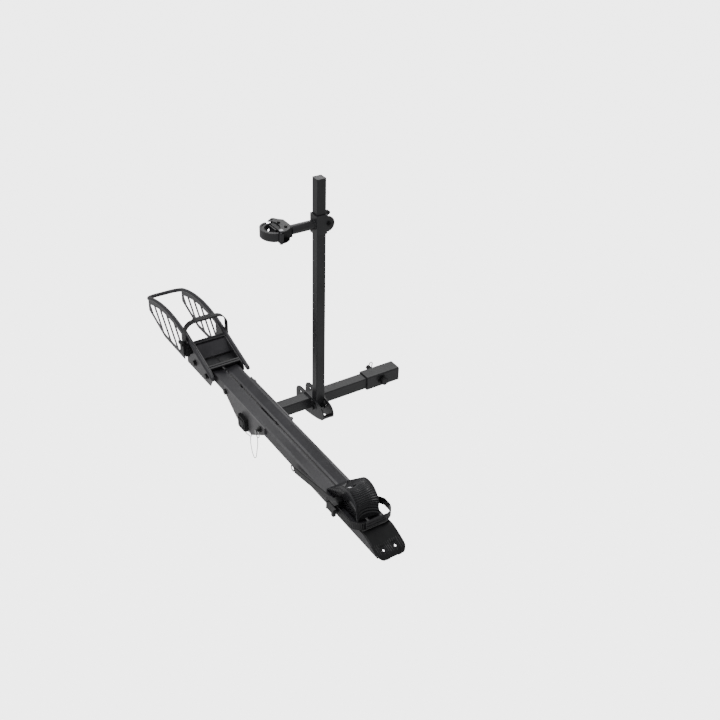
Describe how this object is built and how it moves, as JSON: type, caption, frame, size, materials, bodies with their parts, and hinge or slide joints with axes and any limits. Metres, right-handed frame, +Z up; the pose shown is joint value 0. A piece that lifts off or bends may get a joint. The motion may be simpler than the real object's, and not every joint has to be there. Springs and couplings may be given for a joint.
{
  "type": "hitch mounted bike rack",
  "caption": "Tow-hitch bike rack for one bike: folding tray with a wheel hoop and rear chock on a square beam, and a folding mast with a swivelling frame clamp.",
  "frame": {"origin": "where the hitch bolt's axis crosses the middle of the square beam", "axes": "+X along the tray towards the rear wheel's end, +Y along the beam towards the vehicle's receiver, +Z up"},
  "size_m": [1.491, 0.615, 0.8742],
  "materials": {
    "charcoal_powder_coat": "satin powder coat",
    "grey_plate_coat": "satin powder coat",
    "black_steel": "black oxide",
    "zinc_steel": "zinc plated",
    "bright_wire": "bright",
    "black_plastic": "moulded, satin",
    "grey_plastic": "moulded, satin",
    "clear_plastic": "clear",
    "black_rubber": "matte",
    "strap_web": "ribbed strap"
  },
  "bodies": {
    "beam": {"hitch_tube": "charcoal_powder_coat", "receiver_sleeve": "charcoal_powder_coat", "tube_end_plug": "black_plastic", "saddle_plate_near": "grey_plate_coat", "saddle_plate_far": "grey_plate_coat", "tray_rest_pad": "black_rubber", "mast_bracket": "charcoal_powder_coat", "mast_pivot_bolt": "zinc_steel", "tray_pivot_bolt": "black_steel", "tether_clip": "bright_wire", "lock_pin_tether": "clear_plastic", "hitch_bolt_washers": "zinc_steel"},
    "hitch_pin": {"hitch_bolt": "black_steel"},
    "r_clip": {"hitch_r_clip": "bright_wire"},
    "lock_pin": {"tray_lock_pin": "zinc_steel", "lock_pin_ring": "bright_wire"},
    "mast": {"mast_tube": "charcoal_powder_coat", "mast_cap": "grey_plastic", "mast_lock_bolt": "zinc_steel"},
    "collar": {"collar_bracket": "charcoal_powder_coat", "collar_liners": "black_plastic", "arm_tube": "charcoal_powder_coat", "collar_clamp_bolt": "zinc_steel", "collar_stop_bolt": "zinc_steel"},
    "cam_lever": {"collar_lever": "black_plastic"},
    "head": {"head_top_plate": "grey_plate_coat", "head_bottom_plate": "black_steel", "head_block": "black_plastic", "head_bolts": "zinc_steel", "jaw_hinge_pin": "zinc_steel", "fixed_jaw_pad": "black_rubber"},
    "jaw": {"jaw_band": "charcoal_powder_coat", "jaw_pad": "black_rubber"},
    "release": {"jaw_release_lever": "black_plastic"},
    "tray": {"tray_rail_near": "grey_plate_coat", "tray_rail_far": "grey_plate_coat", "tray_spacers": "black_steel", "tray_end_cap": "black_plastic", "end_cap_screws": "black_steel", "hoop_rod": "charcoal_powder_coat", "hoop_cross_bars": "charcoal_powder_coat", "cradle_ramp": "grey_plate_coat", "cradle_floor": "charcoal_powder_coat", "holder_side_near": "grey_plate_coat", "holder_side_far": "charcoal_powder_coat", "guard_near": "grey_plate_coat", "guard_far": "grey_plate_coat", "holder_blocks": "black_plastic", "holder_bolts": "black_steel", "front_strap": "strap_web", "front_strap_pad": "black_rubber", "front_ratchet_body": "black_plastic", "front_strap_anchor": "black_plastic"},
    "front_ratchet": {"front_ratchet_lever": "black_plastic"},
    "chock_set": {"rear_chock": "grey_plastic", "rear_chock_bolt": "zinc_steel", "rear_strap": "strap_web", "rear_strap_pad": "black_rubber", "rear_ratchet_body": "black_plastic"},
    "rear_ratchet": {"rear_ratchet_lever": "black_plastic"}
  },
  "joints": [
    {"name": "tray_fold", "type": "hinge", "parent": "beam", "child": "tray", "pos_m": [-0.129, -0.452, 0.038], "axis": [0, -1, 0], "range_deg": [0, 60]},
    {"name": "mast_fold", "type": "hinge", "parent": "beam", "child": "mast", "pos_m": [0.036, -0.2565, -0.006], "axis": [0, -1, 0], "range_deg": [-66, 0]},
    {"name": "collar_slide", "type": "slide", "parent": "mast", "child": "collar", "axis": [0, 0, 1], "range_m": [-0.1, 0.09]},
    {"name": "collar_lever_turn", "type": "hinge", "parent": "collar", "child": "cam_lever", "pos_m": [0.011, -0.234, 0.637], "axis": [1, 0, 0], "range_deg": [0, 75]},
    {"name": "head_swivel", "type": "hinge", "parent": "collar", "child": "head", "pos_m": [0.036, -0.37, 0.637], "axis": [0, 1, 0], "range_deg": [-90, 90]},
    {"name": "jaw_open", "type": "hinge", "parent": "head", "child": "jaw", "pos_m": [0.059, -0.393, 0.633], "axis": [0, 0, 1], "range_deg": [0, 60]},
    {"name": "jaw_release_turn", "type": "hinge", "parent": "head", "child": "release", "pos_m": [-0.023, -0.379, 0.633], "axis": [0, 0, -1], "range_deg": [0, 18], "stiffness_Nm_per_rad": 0.2},
    {"name": "front_ratchet_lift", "type": "hinge", "parent": "tray", "child": "front_ratchet", "pos_m": [-0.37, -0.5389, 0.066], "axis": [1, 0, 0], "range_deg": [0, 75], "stiffness_Nm_per_rad": 0.05},
    {"name": "chock_slide", "type": "slide", "parent": "tray", "child": "chock_set", "axis": [-1, 0, 0], "range_m": [0, 0.06]},
    {"name": "rear_ratchet_lift", "type": "hinge", "parent": "chock_set", "child": "rear_ratchet", "pos_m": [0.5296, -0.526, 0.07], "axis": [0, 0, -1], "range_deg": [0, 75], "stiffness_Nm_per_rad": 0.05},
    {"name": "lock_pin_pull", "type": "slide", "parent": "beam", "child": "lock_pin", "axis": [0, -1, 0], "range_m": [0, 0.115]},
    {"name": "hitch_bolt_slide", "type": "slide", "parent": "beam", "child": "hitch_pin", "axis": [1, 0, 0], "range_m": [0, 0.022]},
    {"name": "r_clip_pull", "type": "slide", "parent": "hitch_pin", "child": "r_clip", "axis": [0, 0, 1], "range_m": [0, 0.03]}
  ]
}
